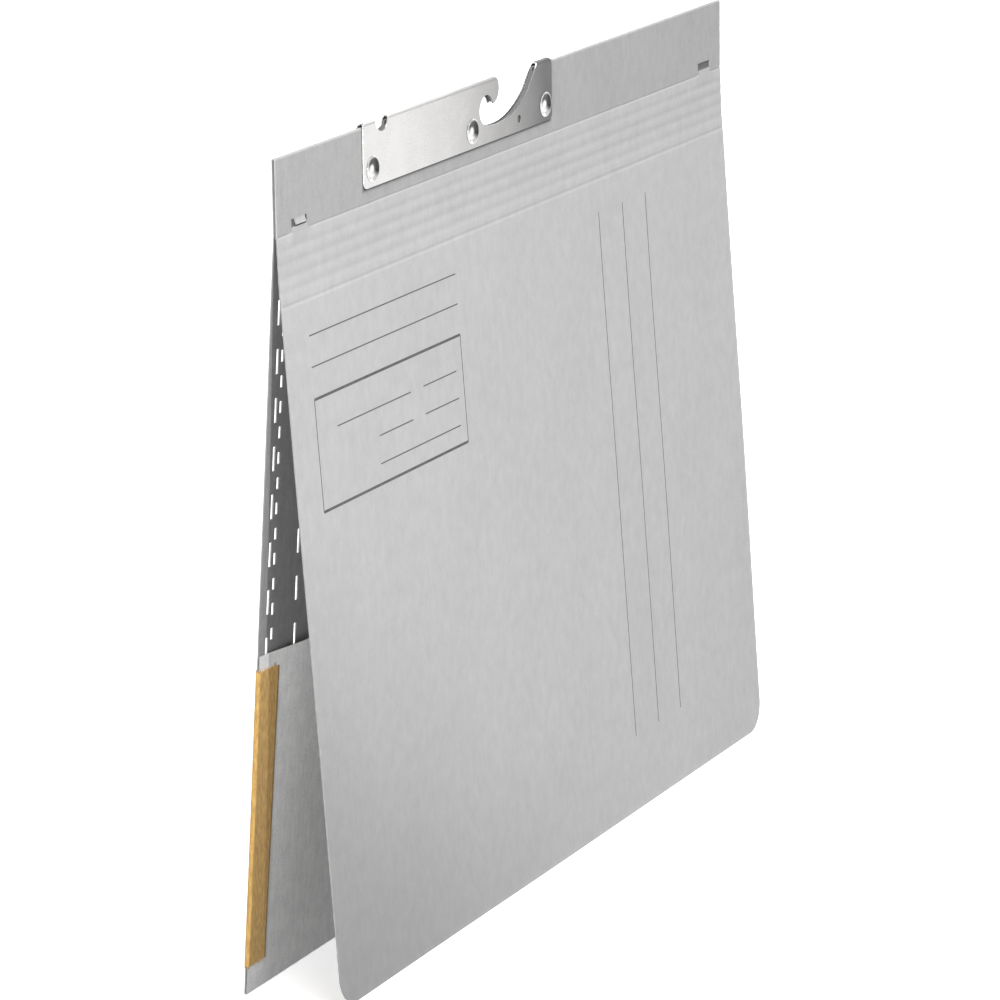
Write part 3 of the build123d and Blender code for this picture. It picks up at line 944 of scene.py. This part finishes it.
# rows tucked behind the flap take the card in painted shade
for cell in spine_net.faces:
    if cell.calc_center_median().z > strip_low.z + CREASE_FROM * MM:
        cell.material_index = SHADED_SLOT
spine = sheet_piece("scored_top", spine_net, front_card, inner_shaded_card, extra=[painted_shade_card])
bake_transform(spine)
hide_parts("scored_spine", "tongue_left", "tongue_right")

# %% Tab in the left slot
TAB_TOP, TAB_FOOT = 3.95, 1.95
TAB_LEFT_GAP, TAB_RIGHT_GAP = 1.9, 1.2
TAB_PUSH, TAB_CURL = 0.6, 1.5
TAB_ACROSS, TAB_DOWN = 0.8, 0.25
flap_middle = strip_low.y / MM + CARD / 2


def fold_tab(u, v):
    push = TAB_PUSH * ((TAB_TOP - v) / (TAB_TOP - TAB_FOOT)) ** TAB_CURL
    return Vector((u, flap_middle - push, v)) * MM + Vector((0, 0, strip_low.z))


slot_left, slot_right = tongues[0]
tab_columns = ruler(slot_left + TAB_LEFT_GAP, slot_right - TAB_RIGHT_GAP, TAB_ACROSS)
tab_rows = ruler(TAB_FOOT, TAB_TOP, TAB_DOWN)[::-1]
tab = sheet_piece("slot_tab", net_of(tab_columns, tab_rows, fold_tab), strip_shaded_card, strip_shaded_card)
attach(tab, "strip")

# %% [markdown]
# ## The front cover
# Below the last score the front cover is one plain sheet with round bottom corners. The corners
# come from the outline: each row of the net is drawn in to the arc. A slow noise gives the sheet
# the slight sway of card that has stood in a cabinet.

# %% Front cover
CORNER, CORNER_STEP = 10.0, 6
EVEN_BELOW = (2, 3)


def round_foot(u, v):
    into = v - (cover_length - CORNER)
    inset = CORNER - (CORNER**2 - min(into, CORNER) ** 2) ** 0.5 if into > 0 else 0
    return u * (1 - inset / half_width), v


foot_rows = [cover_length - CORNER * (1 - sin(radians(a))) for a in range(0, 90, CORNER_STEP)]
cover_marks = score_rows + foot_rows + [spine_length + below for below in EVEN_BELOW]
cover_rows = ruler(split, cover_length, SHEET_STEP, cover_marks)
cover_net = net_of(columns, cover_rows, fold_front, outline=round_foot)
cover = sheet_piece("front_cover_sheet", cover_net, front_card, inner_shaded_card)
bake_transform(cover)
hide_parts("front_cover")

# %% [markdown]
# ## The back cover
# The back cover hangs from the strip's back leaf and carries three rows of slits for label tabs.
# The slits are punched flat: rows and columns of the net run along their edges, and the cells
# inside are left out. At its foot the sheet turns into the pocket, so it ends where that fold
# begins.

# %% Back cover
FOLD_RADIUS = 0.35
SLIT_WIDTH, SLIT_START = 1.4, 19.3
BACK_SEED, BACK_SWAY, STILL_FOOT = 7.0, 0.25, 40
BACK_ACROSS, BACK_DOWN = 5.0, 4.0
SEAM_ROWS = [0.0, 0.5, 1.0, 2.0]
# Each row of slits: its distance from the left side, a slit's length, their pitch and their count
slit_rows = [(5.0, 7.8, 15.0, 8), (8.0, 3.8, 7.9, 14), (22.8, 7.8, 15.0, 8)]
fold_start = cover_length - FOLD_RADIUS - CARD / 2


def fold_back(u, v, lift=0.0):
    if v < 0:
        return back_seam + Vector((u, -lift, -v)) * MM
    still = smooth_step(v / SWAY_RUN) * smooth_step((fold_start - v) / STILL_FOOT)
    lift += sway(u, v, BACK_SEED, BACK_SWAY) * still
    return back_seam + (ALONG * u + back_down * v + back_face * lift) * MM


slits = []
for inset, length, slit_pitch, count in slit_rows:
    left = inset - SLIT_WIDTH / 2 - half_width
    right = inset + SLIT_WIDTH / 2 - half_width
    for number in range(count):
        top = SLIT_START + slit_pitch * number
        slits.append((left, right, top, top + length))
slit_columns = [edge for slit in slits for edge in slit[:2]]
slit_marks = [edge for slit in slits for edge in slit[2:]]
back_columns = ruler(-half_width, half_width, BACK_ACROSS, slit_columns)
back_rows = ruler(-strip_gap, fold_start, BACK_DOWN, slit_marks + SEAM_ROWS)
back_net = net_of(back_columns, back_rows, fold_back, slits)
back = sheet_piece("back_cover_sheet", back_net, inner_shaded_card, back_card)
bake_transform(back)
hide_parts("back_cover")
print(len(slits), "slits")

# %% [markdown]
# ## The pocket
# The pocket is the same sheet, folded up inside. Linen holds its sides, and its free mouth bows
# forward a few millimetres, most of it close to the sides. Near the foot it lies flat. The fold
# itself is a half circle.

# %% Pocket
POCKET_BOW, BOW_RUN, BOW_POWER = 4.0, 18.0, 1.5
SIDE_INSETS = (1.5, 3, 5, 7.5, 10, 13, 17, 22, 28)
POCKET_ACROSS, POCKET_DOWN, FOLD_STEPS = 6.0, 5.0, 8
pocket_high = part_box("pocket_panel")[1]
pocket_lift = 2 * FOLD_RADIUS
mouth = (back_seam.z - pocket_high.z) / MM / -back_down.z
pocket_height = fold_start - mouth


def pocket_bow(u, v):
    from_side = half_width - abs(u)
    rise = max(0, fold_start - v) / pocket_height
    return POCKET_BOW * (1 - exp(-((from_side / BOW_RUN) ** 2))) * rise**BOW_POWER


def fold_pocket(u, v):
    turn = v - fold_start
    if turn > 0:
        angle = pi - turn / FOLD_RADIUS
        round_fold = back_down * sin(angle) + back_face * (1 - cos(angle))
        return fold_back(u, fold_start) + round_fold * FOLD_RADIUS * MM
    return fold_back(u, v, pocket_lift + pocket_bow(u, v))


arc = pi * FOLD_RADIUS
side_columns = [side * (half_width - inset) for side in (-1, 1) for inset in SIDE_INSETS]
pocket_columns = ruler(-half_width, half_width, POCKET_ACROSS, side_columns)
pocket_rows = [fold_start + arc * k / FOLD_STEPS for k in range(FOLD_STEPS, 0, -1)]
pocket_rows += ruler(mouth, fold_start, POCKET_DOWN)[::-1]
pocket_net = net_of(pocket_columns, pocket_rows, fold_pocket)
pocket = sheet_piece("pocket_sheet", pocket_net, inner_shaded_card, pocket_lit_card)
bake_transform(pocket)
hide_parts("pocket_panel")
print(f"pocket mouth {mouth:.1f} mm below the seam")

# %% [markdown]
# ## Linen gusset tapes
# A strip of linen is glued round each side edge, from the pocket's face to the back of the cover.
# Its section is a U with round corners, and its inner leg follows the pocket's bow. The cut ends
# fray, so loose threads of uneven length are added there.

# %% Section of a tape
TAPE, TAPE_LEG, TAPE_ROUND = 0.3, 10.0, 0.3
LEG_STEP, LEG_POINTS = 0.8, 12
tape_low, tape_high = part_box("gusset_tape_left")
tape_top = (back_seam.z - tape_high.z) / MM / -back_down.z
tape_foot = (back_seam.z - tape_low.z) / MM / -back_down.z
outer_lift, inner_lift = -(CARD + TAPE) / 2, pocket_lift + (CARD + TAPE) / 2
corner_angles = [radians(a) for a in range(0, 91, 30)]
corner = [(TAPE_ROUND * (1 - sin(a)), TAPE_ROUND * (1 - cos(a))) for a in corner_angles]
wrap = [(-TAPE / 2 + far, outer_lift + near) for far, near in corner]
wrap += [(-TAPE / 2 + near, inner_lift - far) for far, near in corner]
leg = [TAPE_LEG - LEG_STEP * k for k in range(LEG_POINTS)]
section = [(inset, outer_lift) for inset in leg] + wrap + [(inset, inner_lift) for inset in leg[::-1]]


def run_lengths(points):
    total, lengths = 0, [0]
    for (a, b), (c, d) in zip(points, points[1:]):
        total += ((c - a) ** 2 + (d - b) ** 2) ** 0.5
        lengths.append(total)
    return lengths


across = run_lengths(section)
place_at = dict(zip(across, section))
print(f"section {across[-1]:.1f} mm round")


# %% Tape folds and frayed ends
FRAY_GAPS, FRAY_LENGTH, FRAY_SPLAY, FRAY_LIFT = 0.25, (0.3, 1.3), 0.25, (-0.05, 0.12)
FRAY_RADII = (0.1, 0.09, 0.04)
QUARTERS = (0, pi / 2, pi, 3 * pi / 2)


def tape_fold(side):
    def fold(u, v):
        inset, lift = place_at[u]
        x = side * (half_width - inset)
        share = smooth_step((lift - outer_lift) / (inner_lift - outer_lift))
        return fold_back(x, v, lift + share * pocket_bow(x, v))

    return fold


def add_thread(net, points):
    rings = []
    for point, radius in zip(points, FRAY_RADII):
        ring = [point + (ALONG * cos(a) + back_face * sin(a)) * radius * MM for a in QUARTERS]
        rings.append([net.verts.new(p) for p in ring])
    for lower, upper in zip(rings, rings[1:]):
        for side in zip(lower, lower[1:] + lower[:1], upper[1:] + upper[:1], upper):
            net.faces.new(side).smooth = True
    net.faces.new(rings[0])
    net.faces.new(rings[-1])


def add_fringe(name, fold, seed):
    draw = Random(seed)
    net = bmesh.new()
    layer = net.loops.layers.uv.new(FLAT_MAP)
    for u in across[1:-1]:
        for v, way in ((tape_top, -1), (tape_foot, 1)):
            if draw.random() < FRAY_GAPS:
                continue
            length, splay = draw.uniform(*FRAY_LENGTH), draw.uniform(-FRAY_SPLAY, FRAY_SPLAY)
            base, tip = fold(u, v), fold(u, v + way * length)
            tip += ALONG * splay * MM + back_face * draw.uniform(*FRAY_LIFT) * MM
            add_thread(net, (base, (base + tip) / 2, tip))
    bmesh.ops.recalc_face_normals(net, faces=net.faces)
    for cell in net.faces:
        for loop in cell.loops:
            loop[layer].uv = (loop.vert.co.x / MM, loop.vert.co.z / MM)
    return finish_piece(name, net, [linen])


# %% Tapes
TAPE_STEP, FRAY_SEED = 1.6, 11
tape_rows = ruler(tape_top, tape_foot, TAPE_STEP)
for side, label in ((-1, "left"), (1, "right")):
    fold = tape_fold(side)
    net = net_of(across, tape_rows, fold)
    if side < 0:
        bmesh.ops.reverse_faces(net, faces=net.faces)
    tape = sheet_piece(f"linen_tape_{label}", net, linen, linen, linen, TAPE)
    fringe = add_fringe(f"tape_fringe_{label}", fold, FRAY_SEED + side)
    for piece in (tape, fringe):
        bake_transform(piece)
    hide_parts(f"gusset_tape_{label}")
print(f"tapes {across[-1]:.1f} x {tape_foot - tape_top:.1f} mm flat")

# %% [markdown]
# ## Hook plate, rivets and fastener
# The steel pieces are rigid, so they are softened copies of the frame's solids. The plate's bevel
# is what draws the bright and dark lines along its outline, and its cut faces take the sheared
# steel. The rivets are polished, and the fastener inside is zinc on a board of grey card.

# %% Hook plate
FACING = 0.5
ROLL_SHARE, NOTCH_REACH = 1.04, 0.03
roll_height = (plate_high.y - plate_low.y) / 2


def sheared(cell):
    way = cell.normal
    below_roll = cell.center.z < plate_high.z - ROLL_SHARE * roll_height
    if way.x < -FACING and cell.center.x < plate_low.x + NOTCH_REACH:
        return False
    return abs(way.x) > FACING or way.z < -FACING or (way.z > FACING and below_roll)


plate_finish = [plate_steel, sheared_steel]
softened_copy(
    "hook_plate", "pressed_hook_plate", "strip", plate_finish, ease=0.12, cut=sheared
)

# %% Rivets and fastener
for label in ("left", "middle", "right"):
    node = f"rivet_{label}"
    rivet_low, rivet_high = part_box(node)
    centre = (rivet_low + rivet_high) / 2
    softened_copy(
        node, f"dished_{node}", "strip", [rivet_steel], ease=0.08, flat_from=centre
    )
softened_copy(
    "reinforcing_strip", "board_strip", "back_cover", [board], ease=0.1, flat_from=back_seam
)
softened_copy("prong_band", "folded_prongs", "back_cover", [zinc_steel], ease=0.05)
softened_copy("cover_bar", "pressing_bar", "back_cover", [zinc_steel], ease=0.08)
for node in ("slider_left", "slider_right"):
    softened_copy(node, f"lock_{node}", node, [zinc_steel], ease=0.06)

# %% [markdown]
# ## Floor finish
# The floor is plain and pale, with just enough noise in its sheen to look like painted board. The
# camera and mirrors see it white. To matt card it is a darker grey without glow, so that little
# light comes back up under the covers.

# %% Floor material
FLOOR_TONE = (0.9, 0.9, 0.9, 1)
PALE_TONE = (0.927, 0.927, 0.927, 1)
BOUNCE_TONE = (0.3, 0.3, 0.3, 1)
FLOOR_GLOW, FLOOR_GRAIN = 0.55, 6.0
FLOOR_ROUGH, FLOOR_ROUGH_RANGE = 0.7, 0.1
floor_paint, tree, shader = new_material("pale floor", specular_ior_level=0.1)
floor_grain = grain(tree, add_node(tree, "TexCoord").outputs["Object"], FLOOR_GRAIN)
paint = mix_colour(tree, floor_grain, FLOOR_TONE, PALE_TONE)
onto_card = add_node(tree, "LightPath").outputs["Is Diffuse Ray"]
tone = mix_colour(tree, onto_card, paint, BOUNCE_TONE)
glow = times(tree, calc(tree, "SUBTRACT", 1.0, onto_card), FLOOR_GLOW)
rough = scaled(tree, floor_grain, FLOOR_ROUGH_RANGE, FLOOR_ROUGH)
set_inputs(tree, shader, base_color=tone, roughness=rough)
set_inputs(tree, shader, emission_color=FLOOR_TONE, emission_strength=glow)
floor_mesh.materials.append(floor_paint)
print("floor material", floor_paint.name)

# %% [markdown]
# ## Sizes
# Looks must not change the size of the object. So the frame's box and the box of the dressed object
# are kept side by side.

# %% Sizes and finish
low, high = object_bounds()
sizes = {"cad": [list(cad_low), list(cad_high)], "visual": [list(low), list(high)]}
print("visual box in mm:", size_in_mm(low, high))
